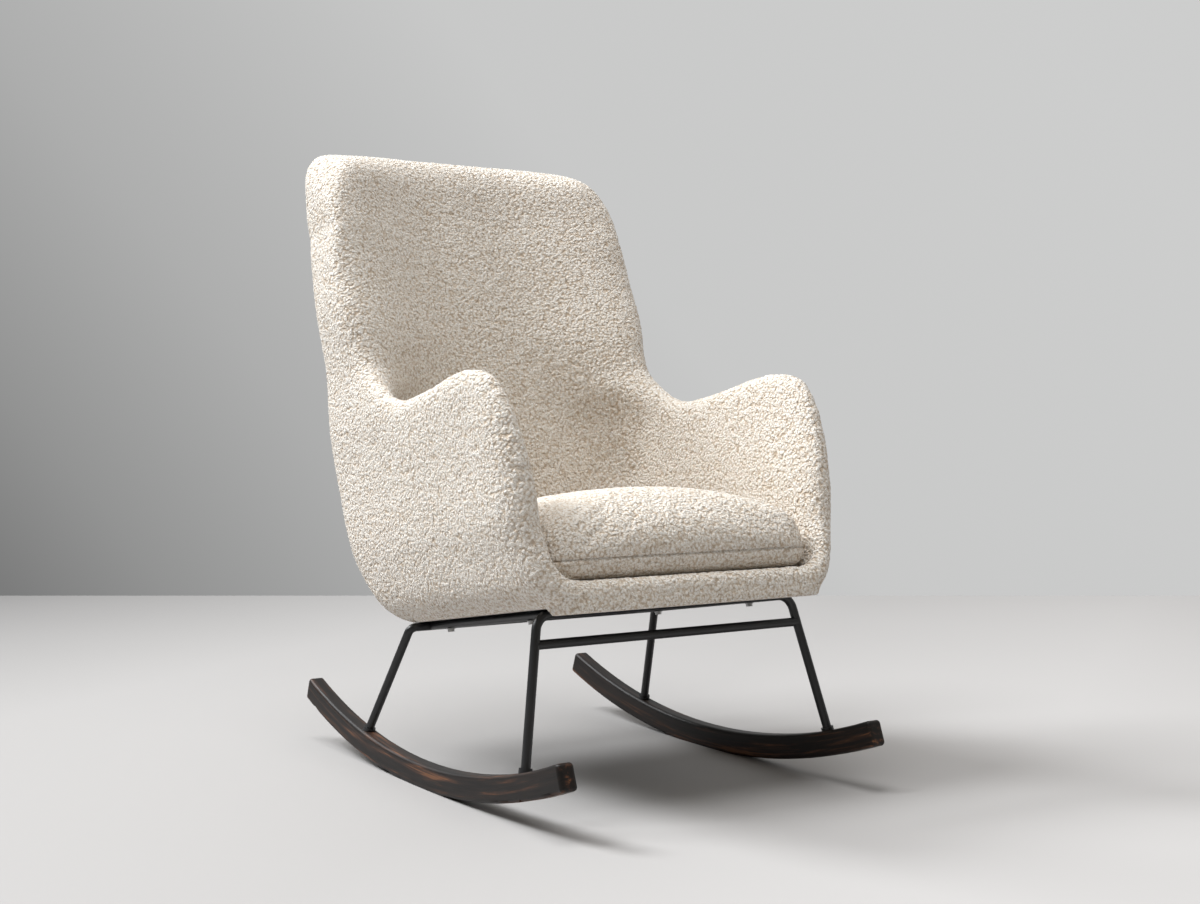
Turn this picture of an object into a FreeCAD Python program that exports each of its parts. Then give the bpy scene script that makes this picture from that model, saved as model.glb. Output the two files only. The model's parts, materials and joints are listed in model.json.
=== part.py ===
"""Upholstered rocking chair: bouclé bucket shell, loose seat cushion, tube base and wooden rockers.

Millimetres, +Z up, the sitter faces -Y and has +X on the left hand. The origin is the centre of the
footprint at floor level. The shell is drawn level in its own frame (x across, y towards the rear,
z up from the underside of the seat) and is then leaned back by the seat tilt.
"""
import FreeCAD, Part
import math
import os

Vec = FreeCAD.Vector
X_AXIS = Vec(1, 0, 0)
Y_AXIS = Vec(0, 1, 0)
Z_AXIS = Vec(0, 0, 1)
SIDES = (("left", 1), ("right", -1))

# Clearances
fit_gap = 0.1            # tube in mortise, bolt in hole
soft_gap = 0.4           # between soft pieces

# Main sizes of the shell, in its own frame
seat_half = 238.0        # inner half width at the seat
arm_front = -286.0
back_face = 242.0        # front face of the back at the seat plane
arm_height = 367.0
back_height = 857.0

# Rockers
rocker_radius = 1260.0   # bottom arc
rocker_height = 40.0
rocker_width = 28.0
rocker_track = 2 * (seat_half + 42.0)  # centre to centre
rocker_front = 437.0     # reach of the bottom arc in front of its lowest point
rocker_rear = 437.0
rocker_edge = 6.0        # rounding of the edges
rocker_flat = 180.0      # length of the flat that the chair stands still on
floor_rise = rocker_radius - math.sqrt(rocker_radius ** 2 - (rocker_flat / 2) ** 2)

# Tube base
tube_dia = 14.0
tube_wall = 1.5
cope_start = 0.12        # of the diameter: a coped end starts this far off the axis of the bar it meets
hoop_setback = 67.0      # of each hoop from the front of the arms and from the back
hoop_spacing = back_face - arm_front - 2 * hoop_setback
front_hoop_width = 2 * (seat_half - 3.5)
rear_hoop_width = 2 * (seat_half + 6.5)
front_bend = 27.0        # centre-line radius of the hoop corners
rear_bend = 12.0
front_foot = -316.0      # where the legs meet the rockers, from the lowest point of the arc
rear_foot = 202.0
stretcher_drop = 44.0    # below the front rail, along the legs
side_rail_x = seat_half - 33.0
mortise_depth = 14.0
collar_dia = tube_dia + 6.0
collar_height = 6.0
plug_length = 24.0
rocker_bolt_dia = 6.0
rocker_bolt_head = 10.0
rocker_bolt_head_height = 6.0
counterbore_depth = 9.0
bolt_engagement = 16.0   # thread in the plug

# Seat plane: the underside of the shell, which the tubes touch
seat_tilt = 8.9          # degrees, front edge up
seat_centre_y = -77.0    # from the lowest point of the rocker arc
seat_centre_z = 273.5

# Seat frame
dust_cover_thickness = 1.0
rail_height = 26.0
rail_width = 45.0
frame_half_width = seat_half - 12.0
frame_front = arm_front + 31.0
frame_rear = back_face + 14.0
frame_corner = 42.0      # cut off each corner, where the cover wraps round
deck_half = seat_half - 4.0
deck_rear = back_face - 4.0  # rear edge of the straps, the pad and its cloth
deck_corner = 60.0
corner_block_leg = 50.0
corner_block_height = 20.0
webbing_thickness = 1.5
seat_strap_width = 56.0
seat_strap_count = 5
deck_pad_thickness = 5.5
deck_cover_thickness = 2.0
shell_bolt_dia = 6.0
shell_bolt_head = 11.0
shell_bolt_head_height = 4.0
shell_bolt_reach = 130.0  # from the middle of the side rail to each bolt
washer_dia = 14.0
washer_thickness = 1.5
insert_dia = 10.0
insert_length = 18.0

# Shell
cover_thickness = 2.5
shell_base = 14.0        # lower edge of the walls
arm_spread = 29.36       # how far the inner faces have opened out at the arm tops
inner_lean = arm_spread / arm_height
bottom_round_rise = 110.0
bottom_round_side = 18.0
bottom_round_rear = 64.0
back_half = seat_half + 70.0
back_thickness = 108.0
back_recline = 0.14      # rearward per unit of height
back_lean = 0.10         # how fast the outer side faces open out, up to the wings
outer_corner = 75.0
inner_corner_low = 58.0
inner_corner_high = 225.0
top_corner = 108.0
top_edge_round = 34.0
wing_edge_round = 24.0
wing_start = arm_height - 15.0  # height where the wing edge leaves the arm
wing_slope = 0.30
top_pitch = 7.0          # degrees, the top edge leans towards level
back_pad_depth = 36.0    # foam in front of the back frame
back_lining = 6.0        # wadding behind it
cavity_base = 40.0       # height where the hollow in the back begins
arm_rear = back_face - 124.0  # where the arm meets the back
arm_half = seat_half + 83.0   # outer half width at the arm top
arm_taper = 24.0         # narrowing of the arm tops towards the rear
arm_foot_thickness = 14.0
arm_belly = 11.0         # outward curve of the outer face
front_rail_depth = 29.0
front_rail_round = 10.0
front_rail_base = 2.0

# Frame inside the walls
arm_panel_thickness = 9.0
arm_panel_base = 28.0
arm_panel_margin = 36.0
cleat_length = 50.0
cleat_height = 62.0
cleat_base = 16.0
post_x = seat_half - 48.0
post_width = 45.0
post_thickness = 22.0
post_notch = 4.0         # depth of the housing where the post bears on the rear rail
post_recline = 9.5       # degrees
post_foot = -9.0         # lower end, from the top of the rear rail
post_top_margin = 87.0
back_rail_height = 45.0
back_strap_width = 50.0
back_strap_count = 5
back_strap_lap = 10.0    # of the middle strap on the middle rail

# Loose cushion
cushion_half = seat_half - 2.0
cushion_front = arm_front + 16.0
cushion_rear = back_face - 4.0
cushion_side_height = 64.0
cushion_crown = 132.0
cushion_corner = 45.0
cushion_round = 8.0
zip_length = 2 * (cushion_half - 36.0)
zip_width = 8.0
zip_thickness = 2.0
zip_height = 30.0        # above the cushion's underside


def box(x0, x1, y0, y1, z0, z1):
    return Part.makeBox(x1 - x0, y1 - y0, z1 - z0, Vec(x0, y0, z0))


def mirrored(shape):
    return shape.mirror(Vec(0, 0, 0), X_AXIS)


def placed(shape):
    """Lean a piece drawn in the shell frame back and lift it on to the base."""
    copy = shape.copy()
    copy.rotate(Vec(0, 0, 0), X_AXIS, -seat_tilt)
    copy.translate(Vec(0, seat_centre_y, seat_centre_z))
    return copy


def shell_point(x, y, z):
    angle = math.radians(seat_tilt)
    along = y * math.cos(angle) + z * math.sin(angle)
    up = z * math.cos(angle) - y * math.sin(angle)
    return Vec(x, seat_centre_y + along, seat_centre_z + up)


def polygon_prism(points, direction):
    wire = Part.makePolygon(points + [points[0]])
    return Part.Face(wire).extrude(direction)


def unit(vector):
    return vector * (1.0 / vector.Length)


def bent_path(points, radius):
    """Straight runs joined by tangent arcs."""
    edges = []
    start = points[0]
    for before, corner, after in zip(points, points[1:], points[2:]):
        back = unit(before - corner)
        ahead = unit(after - corner)
        half = math.acos(back.dot(ahead)) / 2
        tangent = radius / math.tan(half)
        bisector = unit(back + ahead)
        arc_in = corner + back * tangent
        arc_out = corner + ahead * tangent
        arc_mid = corner + bisector * (radius / math.sin(half) - radius)
        edges.append(Part.makeLine(start, arc_in))
        edges.append(Part.Arc(arc_in, arc_mid, arc_out).toShape())
        start = arc_out
    edges.append(Part.makeLine(start, points[-1]))
    return Part.Wire(edges)


def swept(path, radius):
    first = path.OrderedEdges[0]
    start = first.valueAt(first.FirstParameter)
    tangent = first.tangentAt(first.FirstParameter)
    circle = Part.Wire([Part.makeCircle(radius, start, tangent)])
    return path.makePipeShell([circle], True, False)


def cylinder_between(start, end, diameter):
    run = end - start
    return Part.makeCylinder(diameter / 2, run.Length, start, run)


# Rockers


def rocker_blank(x_centre):
    """Curved wooden bar with rounded edges and a short flat below, its lowest point at y = 0."""
    def on_arc(radius, angle):
        along = radius * math.sin(angle)
        return Vec(x_centre - rocker_width / 2, along, rocker_radius - radius * math.cos(angle))

    low = rocker_radius
    high = rocker_radius - rocker_height
    front = -math.asin(rocker_front / rocker_radius)
    rear = math.asin(rocker_rear / rocker_radius)
    middle = (front + rear) / 2
    edges = [
        Part.Arc(on_arc(low, front), on_arc(low, middle), on_arc(low, rear)).toShape(),
        Part.makeLine(on_arc(low, rear), on_arc(high, rear)),
        Part.Arc(on_arc(high, rear), on_arc(high, middle), on_arc(high, front)).toShape(),
        Part.makeLine(on_arc(high, front), on_arc(low, front)),
    ]
    bar = Part.Face(Part.Wire(edges)).extrude(Vec(rocker_width, 0, 0))
    bar = bar.makeFillet(rocker_edge, bar.Edges)
    left, right = x_centre - rocker_width, x_centre + rocker_width
    under = box(left, right, -rocker_flat, rocker_flat, -rocker_height, floor_rise)
    return bar.cut(under)


def rocker_top(y):
    return rocker_radius - math.sqrt((rocker_radius - rocker_height) ** 2 - y ** 2)


def depth_to_bottom(foot, up):
    """Distance down the leg axis from the rocker's top face to its bottom arc."""
    side = Vec(0, foot.y, foot.z - rocker_radius)
    down = Vec(0, -up.y, -up.z)
    a = down.dot(down)
    b = 2 * side.dot(down)
    c = side.dot(side) - rocker_radius ** 2
    return (-b + math.sqrt(b * b - 4 * a * c)) / (2 * a)


# Base


class Leg:
    """Axis of one hoop leg, from the corner of its hoop to its end in the rocker."""

    def __init__(self, side, hoop_width, rail_y, foot_y):
        self.side = side
        self.corner = shell_point(side * hoop_width / 2, rail_y, -tube_dia / 2)
        self.foot = Vec(side * rocker_track / 2, foot_y, rocker_top(foot_y))
        self.up = unit(self.corner - self.foot)
        self.end = self.foot - self.up * mortise_depth
        self.through = depth_to_bottom(self.foot, self.up)

    def below(self, depth):
        return self.foot - self.up * depth

    def bar(self, depth_from, depth_to, diameter):
        return cylinder_between(self.below(depth_from), self.below(depth_to), diameter)


def hoop(hoop_width, rail_y, foot_y, bend):
    """Bent tube with two legs: returns the tube, its outline as a solid bar, and its legs."""
    legs = [Leg(side, hoop_width, rail_y, foot_y) for side in (-1, 1)]
    path = bent_path([legs[0].end, legs[0].corner, legs[1].corner, legs[1].end], bend)
    bar = swept(path, tube_dia / 2)
    bore = swept(path, tube_dia / 2 - tube_wall)
    return bar.cut(bore), bar, legs


def straight_tube(start, end, trims):
    """Tube between two points on the axes of the bars that it meets, its ends coped to those bars."""
    inset = unit(end - start) * (cope_start * tube_dia)
    bar = cylinder_between(start + inset, end - inset, tube_dia)
    bore = cylinder_between(start, end, tube_dia - 2 * tube_wall)
    return bar.cut([bore] + trims)


def largest(shape):
    return max(shape.Solids, key=lambda solid: solid.Volume)


def build_base():
    nodes = {}
    front_tube, front_bar, front_legs = hoop(front_hoop_width, -hoop_spacing / 2, front_foot, front_bend)
    rear_tube, rear_bar, rear_legs = hoop(rear_hoop_width, hoop_spacing / 2, rear_foot, rear_bend)
    nodes["front_hoop"] = front_tube
    nodes["rear_hoop"] = rear_tube

    joints = []
    for leg in front_legs:
        joints.append(leg.corner - leg.up * stretcher_drop)
    nodes["front_stretcher"] = largest(straight_tube(joints[0], joints[1], [front_bar]))

    bolts = []
    washers = []
    inserts = []
    for name, side in SIDES:
        x = side * side_rail_x
        start = shell_point(x, -hoop_spacing / 2, -tube_dia / 2)
        end = shell_point(x, hoop_spacing / 2, -tube_dia / 2)
        rail = largest(straight_tube(start, end, [front_bar, rear_bar]))
        for y in (-shell_bolt_reach, shell_bolt_reach):
            rail = rail.cut(placed(shell_bolt_hole(x, y)))
            bolts.append(placed(shell_bolt(x, y)))
            washers.append(placed(shell_washer(x, y)))
            inserts.append(placed(shell_insert(x, y)))
        nodes["side_rail_" + name] = rail
    nodes["shell_bolts"] = Part.makeCompound(bolts)
    nodes["shell_washers"] = Part.makeCompound(washers)
    nodes["shell_inserts"] = Part.makeCompound(inserts)

    collars = []
    plugs = []
    rocker_bolts = []
    for name, side in SIDES:
        blank = rocker_blank(side * rocker_track / 2)
        rocker = blank
        for leg in front_legs + rear_legs:
            if leg.side != side:
                continue
            seat = leg.through - counterbore_depth
            head_end = seat + rocker_bolt_head_height
            clear = 2 * fit_gap
            mortise = leg.bar(mortise_depth, -rocker_height, tube_dia + clear)
            drill = leg.bar(leg.through, 0, rocker_bolt_dia + clear)
            counterbore = leg.bar(leg.through + rocker_height, seat, rocker_bolt_head + 2)
            rocker = rocker.cut([mortise, drill, counterbore])

            ring = leg.bar(rocker_height / 2, -collar_height, collar_dia)
            seating = blank.copy()
            seating.translate(Z_AXIS * fit_gap)
            ring = ring.cut([leg.bar(rocker_height, -rocker_height, tube_dia + clear), seating])
            collars.append(largest(ring))

            bore = tube_dia - 2 * tube_wall
            plug = leg.bar(mortise_depth, mortise_depth - plug_length, bore - clear)
            thread = leg.bar(mortise_depth, mortise_depth - plug_length, rocker_bolt_dia + clear)
            plugs.append(plug.cut(thread))

            shank = leg.bar(seat, mortise_depth - bolt_engagement, rocker_bolt_dia)
            head = leg.bar(head_end, seat, rocker_bolt_head)
            rocker_bolts.append(shank.fuse(head).removeSplitter())
        nodes["rocker_" + name] = rocker
    nodes["leg_collars"] = Part.makeCompound(collars)
    nodes["leg_plugs"] = Part.makeCompound(plugs)
    nodes["rocker_bolts"] = Part.makeCompound(rocker_bolts)
    return nodes


# Fixings between base and seat frame, in the shell frame


def upright(x, y, z0, z1, diameter):
    return Part.makeCylinder(diameter / 2, z1 - z0, Vec(x, y, z0))


def shell_bolt_hole(x, y):
    return upright(x, y, -2 * tube_dia, rail_base + insert_length, shell_bolt_dia + 2 * fit_gap)


def washer_seat():
    """Height of the flat under the tube on which the washer bears."""
    return -tube_dia


def shell_washer(x, y):
    ring = upright(x, y, washer_seat() - washer_thickness, washer_seat(), washer_dia)
    return ring.cut(shell_bolt_hole(x, y))


def shell_bolt(x, y):
    under = washer_seat() - washer_thickness
    shank = upright(x, y, under, dust_cover_thickness + insert_length - 2, shell_bolt_dia)
    head = upright(x, y, under - shell_bolt_head_height, under, shell_bolt_head)
    return shank.fuse(head).removeSplitter()


def shell_insert(x, y):
    ring = upright(x, y, dust_cover_thickness, dust_cover_thickness + insert_length, insert_dia)
    return ring.cut(shell_bolt_hole(x, y))


def shell_fixings():
    return [(side * side_rail_x, y) for side in (1, -1) for y in (-shell_bolt_reach, shell_bolt_reach)]


# Seat frame, in the shell frame


rail_base = dust_cover_thickness
rail_top = rail_base + rail_height
deck_pad_base = rail_top + webbing_thickness
deck_pad_top = deck_pad_base + deck_pad_thickness
deck_height = deck_pad_top + deck_cover_thickness


def frame_outline(base, thickness):
    """Plate with the outline of the seat frame."""
    half, cut = frame_half_width, frame_corner
    right_side = [(half, frame_rear - cut), (half, frame_front + cut), (half - cut, frame_front)]
    left_side = [(-x, y) for x, y in right_side[::-1]]
    ring = [(half - cut, frame_rear)] + right_side + left_side + [(cut - half, frame_rear)]
    return polygon_prism([Vec(x, y, base) for x, y in ring], Vec(0, 0, thickness))


def build_seat_frame():
    nodes = {}
    half = frame_half_width
    inner = half - rail_width
    insert_top = rail_base + insert_length
    insert_holes = [upright(x, y, rail_base, insert_top, insert_dia) for x, y in shell_fixings()]
    bolt_holes = [shell_bolt_hole(x, y) for x, y in shell_fixings()]

    front_end = frame_front + rail_width
    rear_start = frame_rear - rail_width
    outline = frame_outline(rail_base, rail_height)
    nodes["seat_rail_front"] = box(-half, half, frame_front, front_end, rail_base, rail_top).common(outline)
    nodes["seat_rail_rear"] = box(-half, half, rear_start, frame_rear, rail_base, rail_top).common(outline)
    for name, side in SIDES:
        rail = box(inner, half, front_end, rear_start, rail_base, rail_top)
        if side < 0:
            rail = mirrored(rail)
        nodes["seat_rail_" + name] = rail.cut(insert_holes)

    blocks = []
    leg = corner_block_leg
    for side in (1, -1):
        for y, ahead in ((front_end, 1), (rear_start, -1)):
            points = [
                Vec(side * inner, y, rail_base),
                Vec(side * (inner - leg), y, rail_base),
                Vec(side * inner, y + ahead * leg, rail_base),
            ]
            blocks.append(polygon_prism(points, Vec(0, 0, corner_block_height)))
    nodes["corner_blocks"] = Part.makeCompound(blocks)

    straps = []
    pitch = (2 * half - rail_width) / seat_strap_count
    for number in range(seat_strap_count):
        x = (number - (seat_strap_count - 1) / 2) * pitch
        left = x - seat_strap_width / 2
        right = x + seat_strap_width / 2
        straps.append(box(left, right, frame_front, deck_rear, rail_top, deck_pad_base))
    nodes["seat_webbing"] = Part.makeCompound(straps)
    for name, low, thickness in (
        ("deck_pad", deck_pad_base, deck_pad_thickness),
        ("deck_cover", deck_pad_top, deck_cover_thickness),
    ):
        edge = tub_section(low, deck_half, frame_front, deck_rear, deck_corner)
        nodes[name] = Part.Face(edge).extrude(Vec(0, 0, thickness))
    nodes["dust_cover"] = frame_outline(0, dust_cover_thickness).cut(bolt_holes)
    return nodes


def front_rail_pad(inset, overrun):
    """Padded band in front of the seat frame, shrunk by inset, lengthened by overrun where open."""
    half = deck_half + overrun
    rear = frame_front - soft_gap + overrun
    front = frame_front - soft_gap - front_rail_depth + inset
    pad = box(-half, half, front, rear, front_rail_base + inset, deck_height - inset)
    long_edges = []
    for edge in pad.Edges:
        centre = edge.CenterOfMass
        if abs(centre.x) < 1 and abs(centre.y - front) < 1:
            long_edges.append(edge)
    return pad.makeFillet(front_rail_round - inset, long_edges)


# Back of the shell


def bottom_curve(height):
    """1 at the lower edge of the shell, 0 where the bottom rounding ends."""
    share = 1 - (height - shell_base) / bottom_round_rise
    share = min(max(share, 0), 1)
    return 1 - math.sqrt(1 - share * share)


def back_lines(height):
    """Faces of the back and its wings at one height, measured from the middle of the seat."""
    lean_end = wing_start + 65
    half = back_half - back_lean * max(lean_end - height, 0) - bottom_round_side * bottom_curve(height)
    above = max(height - (back_height - top_corner), 0)
    half -= top_corner - math.sqrt(max(top_corner ** 2 - above ** 2, 0))
    edge_rise = max(height - (back_height - top_edge_round), 0)
    edge = top_edge_round - math.sqrt(max(top_edge_round ** 2 - edge_rise ** 2, 0))
    face = back_face + back_recline * height
    rear = face + back_thickness - bottom_round_rear * bottom_curve(height)
    blend = min(max((height - wing_start + 132) / 300, 0), 1)
    wing = arm_rear
    rise = height - wing_start
    if rise > 0:
        wing += 60 * min(rise / 88, 1) ** 0.6 + wing_slope * max(rise - 88, 0) + edge
    return {
        "half": half,
        "rear": rear - edge,
        "face": face + edge,
        "wing": wing,
        "inner_half": seat_half + inner_lean * min(height, wing_start - 20),
        "inner_corner": inner_corner_low + (inner_corner_high - inner_corner_low) * blend,
    }


def quarter(start, corner, end, height):
    """Arc that rounds a square corner, between two points given as (x, y)."""
    share = 1 - math.sqrt(0.5)
    x = corner[0] + (start[0] + end[0] - 2 * corner[0]) * share
    y = corner[1] + (start[1] + end[1] - 2 * corner[1]) * share
    first = Vec(start[0], start[1], height)
    last = Vec(end[0], end[1], height)
    return Part.Arc(first, Vec(x, y, height), last).toShape()


def back_section(height, inset):
    """Closed plan outline of the back and its wings at one height, shrunk by inset."""
    lines = back_lines(height)
    half = lines["half"] - inset
    rear = lines["rear"] - inset
    wing = lines["wing"] + inset
    face = lines["face"] + inset
    corner = lines["inner_corner"] + inset
    outer = min(outer_corner, half * 0.6) - inset
    centre_x = lines["inner_half"] + inset - corner
    centre_y = face - corner

    # The inner curve stops at the wing edge and runs out to it along its tangent.
    arc_end = max(centre_y, wing + 6)
    arc_x = centre_x + math.sqrt(corner ** 2 - (arc_end - centre_y) ** 2)
    lead_x = arc_x + (arc_end - wing) * (arc_end - centre_y) / (arc_x - centre_x)
    rounding = min(wing_edge_round, (half - lead_x) * 0.6)
    turn = math.atan2(arc_end - centre_y, arc_x - centre_x)
    middle = (turn + math.pi / 2) / 2

    def at(x, y):
        return Vec(x, y, height)

    def half_outline(side):
        edge = side * half
        rear_x = side * (half - outer)
        front_x = side * (half - rounding)
        middle_x = side * (centre_x + corner * math.cos(middle))
        inner_middle = at(middle_x, centre_y + corner * math.sin(middle))
        return [
            Part.makeLine(at(0, rear), at(rear_x, rear)),
            quarter((rear_x, rear), (edge, rear), (edge, rear - outer), height),
            Part.makeLine(at(edge, rear - outer), at(edge, wing + rounding)),
            quarter((edge, wing + rounding), (edge, wing), (front_x, wing), height),
            Part.makeLine(at(front_x, wing), at(side * lead_x, wing)),
            Part.makeLine(at(side * lead_x, wing), at(side * arc_x, arc_end)),
            Part.Arc(at(side * arc_x, arc_end), inner_middle, at(side * centre_x, face)).toShape(),
            Part.makeLine(at(side * centre_x, face), at(0, face)),
        ]

    return Part.Wire(half_outline(1) + half_outline(-1)[::-1])


def tub_section(height, half, front, rear, corner):
    """Plan outline that is square in front and has two rounded corners at the rear."""
    side_end = rear - corner
    rear_end = half - corner
    return Part.Wire([
        Part.makeLine(Vec(-half, front, height), Vec(half, front, height)),
        Part.makeLine(Vec(half, front, height), Vec(half, side_end, height)),
        quarter((half, side_end), (half, rear), (rear_end, rear), height),
        Part.makeLine(Vec(rear_end, rear, height), Vec(-rear_end, rear, height)),
        quarter((-rear_end, rear), (-half, rear), (-half, side_end), height),
        Part.makeLine(Vec(-half, side_end, height), Vec(-half, front, height)),
    ])


def back_levels():
    """Heights of the plan outlines, closer together where the outline changes fast."""
    low = [shell_base, shell_base + 24, shell_base + 60, shell_base + bottom_round_rise]
    waist = (low[-1] + wing_start) / 2
    wing = [wing_start + rise for rise in (0, 12, 30, 60, 95)]
    shoulder = back_height - top_corner
    tall = [wing[-1] + (shoulder - wing[-1]) * share for share in (0.33, 0.67, 1.0)]
    top = [shoulder + top_corner * math.sin(math.radians(angle)) for angle in (25, 45, 62, 76, 90)]
    return low + [waist] + wing + tall + top


def pitched(wire, height):
    """Tip an outline so that the top edge of the back comes nearly level once the seat is tilted."""
    first = wing_start + 95
    share = min(max((height - first) / (back_height - top_corner - first), 0), 1)
    pivot = Vec(0, back_face + back_recline * height + back_thickness / 2, height)
    wire.rotate(pivot, X_AXIS, top_pitch * share)
    return wire


def back_body(inset, overrun):
    """Solid of the back; overrun lets a cutting body break out through the open lower edge."""
    levels = back_levels()
    wires = []
    for number, height in enumerate(levels):
        wire = pitched(back_section(height, inset), height)
        if number == 0 and overrun:
            wire.translate(Vec(0, 0, -overrun))
        if number == len(levels) - 1:
            wire.translate(Vec(0, 0, -inset))
        wires.append(wire)
    body = Part.makeLoft(wires, True, True)
    ahead = box(-2 * back_half, 2 * back_half, arm_front, arm_rear + inset, -back_height, back_height)
    return body.cut(ahead)


def back_hollow():
    """Space inside the back, between the front pad and the wadding behind it."""
    skin = cover_thickness + soft_gap
    pad = skin + back_pad_depth
    outer = skin + back_lining
    cavity_top = back_height - top_edge_round
    levels = [cavity_base] + [height for height in back_levels() if cavity_base < height < cavity_top]
    shells = []
    fronts = []
    for height in levels:
        lines = back_lines(height)
        corner = min(outer_corner, lines["half"] * 0.6) - outer
        shell = tub_section(height, lines["half"] - outer, lines["wing"] + pad, lines["rear"] - outer, corner)
        front = tub_section(
            height, lines["inner_half"] + pad, arm_front, lines["face"] + pad, lines["inner_corner"] + pad)
        shells.append(pitched(shell, height))
        fronts.append(pitched(front, height))
    return Part.makeLoft(shells, True, True).cut(Part.makeLoft(fronts, True, True))


def build_back_frame():
    """Posts, rails and straps in one leaning plane."""
    def leaned(shape):
        copy = shape.copy()
        copy.rotate(Vec(0, 0, 0), X_AXIS, -post_recline)
        copy.translate(Vec(0, frame_rear - post_notch + half, rail_top))
        return copy

    half = post_thickness / 2
    inner = post_x - post_width / 2
    outer = post_x + post_width / 2
    top = (back_height - post_top_margin - rail_top) / math.cos(math.radians(post_recline))
    nodes = {}
    for name, side in SIDES:
        post = box(inner, outer, -half, half, post_foot, top)
        if side < 0:
            post = mirrored(post)
        nodes["back_post_" + name] = leaned(post)
    first = 0.25 * top
    last = 0.85 * top
    pitch = (last - first) / (back_strap_count - 1)
    middle_strap = (first + last) / 2 - back_strap_width / 2
    rails = (
        ("top", top - back_rail_height),
        ("middle", middle_strap + back_strap_lap - back_rail_height),
        ("lower", 0.11 * top),
    )
    for name, low in rails:
        high = low + back_rail_height
        nodes["back_" + name + "_rail"] = leaned(box(-inner, inner, -half, half, low, high))
    straps = []
    for number in range(back_strap_count):
        middle = first + number * pitch
        low = middle - back_strap_width / 2
        high = middle + back_strap_width / 2
        straps.append(leaned(box(-outer, outer, -half - webbing_thickness, -half, low, high)))
    nodes["back_webbing"] = Part.makeCompound(straps)
    return nodes


# Arms of the shell


def arm_section(y, top, share, inset, base):
    """Closed outline across the left arm at one place along it; share narrows it at the front end."""
    taper = arm_taper * min(max((y + 200) / 300, 0), 1)
    rise = top / arm_height
    top_inner = seat_half + inner_lean * top - 0.6 * taper * rise
    top_outer = arm_half - (arm_height - top) * 0.12 - taper * rise

    def faces(inner, outer):
        middle = (inner + outer) / 2
        half = ((outer - inner) / 2 - inset) * share
        return middle - half, middle + half

    inner_low, outer_low = faces(seat_half, seat_half + arm_foot_thickness)
    inner_top, outer_top = faces(top_inner, top_outer)
    ridge = (inner_top + outer_top) / 2
    shoulder = top - inset - (outer_top - inner_top) / 2
    belly = (outer_low + outer_top) / 2 + arm_belly * share

    def at(x, z):
        return Vec(x, y, z)

    return Part.Wire([
        Part.makeLine(at(inner_low, base), at(outer_low, base)),
        Part.Arc(at(outer_low, base), at(belly, (base + shoulder) / 2), at(outer_top, shoulder)).toShape(),
        Part.Arc(at(outer_top, shoulder), at(ridge, top - inset), at(inner_top, shoulder)).toShape(),
        Part.makeLine(at(inner_top, shoulder), at(inner_low, base)),
    ])


def arm_stations():
    """Places along the arm with the height of its top there and the share of its full thickness."""
    roll = 40.0
    return [
        (arm_front, arm_height - 137, 0.55),
        (arm_front + 0.2 * roll, arm_height - 80, 0.80),
        (arm_front + 0.5 * roll, arm_height - 45, 0.92),
        (arm_front + roll, arm_height - 20, 1.0),
        (arm_front + 1.8 * roll, arm_height - 6, 1.0),
        (arm_front + 3.2 * roll, arm_height, 1.0),
        (-30.0, arm_height - 10, 1.0),
        (50.0, arm_height - 14, 1.0),
        (arm_rear - soft_gap, arm_height - 10, 1.0),
    ]


def arm_body(inset, overrun):
    """Solid of the left arm; overrun lets a cutting body break out at the lower edge and the rear end."""
    wires = []
    stations = arm_stations()
    for number, (y, top, share) in enumerate(stations):
        wire = arm_section(y, top, share, inset, shell_base - overrun)
        if number == 0:
            wire.translate(Y_AXIS * inset)
        if number == len(stations) - 1:
            wire.translate(Y_AXIS * overrun)
        wires.append(wire)
    return Part.makeLoft(wires, True, True)


def panel_x(height):
    """Middle of the leaning arm panel at one height."""
    low = seat_half + inner_lean * arm_panel_base + 0.5 * arm_foot_thickness + 1.7
    slope = (arm_half - seat_half) / arm_height * 0.64
    return low + slope * (height - arm_panel_base)


def arm_panel():
    """Plywood panel of the left arm, upright in outline and leaning outwards."""
    front = arm_front + arm_panel_margin
    rear = arm_rear - 8
    top = arm_height - arm_panel_margin - 8
    points = [
        (front, arm_panel_base), (rear, arm_panel_base), (rear, top - arm_taper),
        (front + 60, top), (front + 20, top - 25), (front, top - 70),
    ]
    half = arm_panel_thickness / 2
    wall = []
    slope = panel_x(1) - panel_x(0)
    for y, z in points:
        wall.append(Vec(panel_x(z) - half, y, z))
    thickness = Vec(arm_panel_thickness, 0, -arm_panel_thickness * slope)
    return polygon_prism(wall, thickness)


def arm_cleat(y):
    """Hardwood gusset from the seat rail up to the left arm panel."""
    half = arm_panel_thickness / 2
    points = [
        Vec(frame_half_width, y - cleat_length / 2, cleat_base),
        Vec(frame_half_width, y - cleat_length / 2, rail_top),
        Vec(deck_half + soft_gap, y - cleat_length / 2, rail_top),
        Vec(panel_x(cleat_height) - half, y - cleat_length / 2, cleat_height),
        Vec(panel_x(arm_panel_base) - half, y - cleat_length / 2, arm_panel_base),
        Vec(panel_x(cleat_base) - half, y - cleat_length / 2, cleat_base),
    ]
    return polygon_prism(points, Vec(0, cleat_length, 0))


# Cushion


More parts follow.
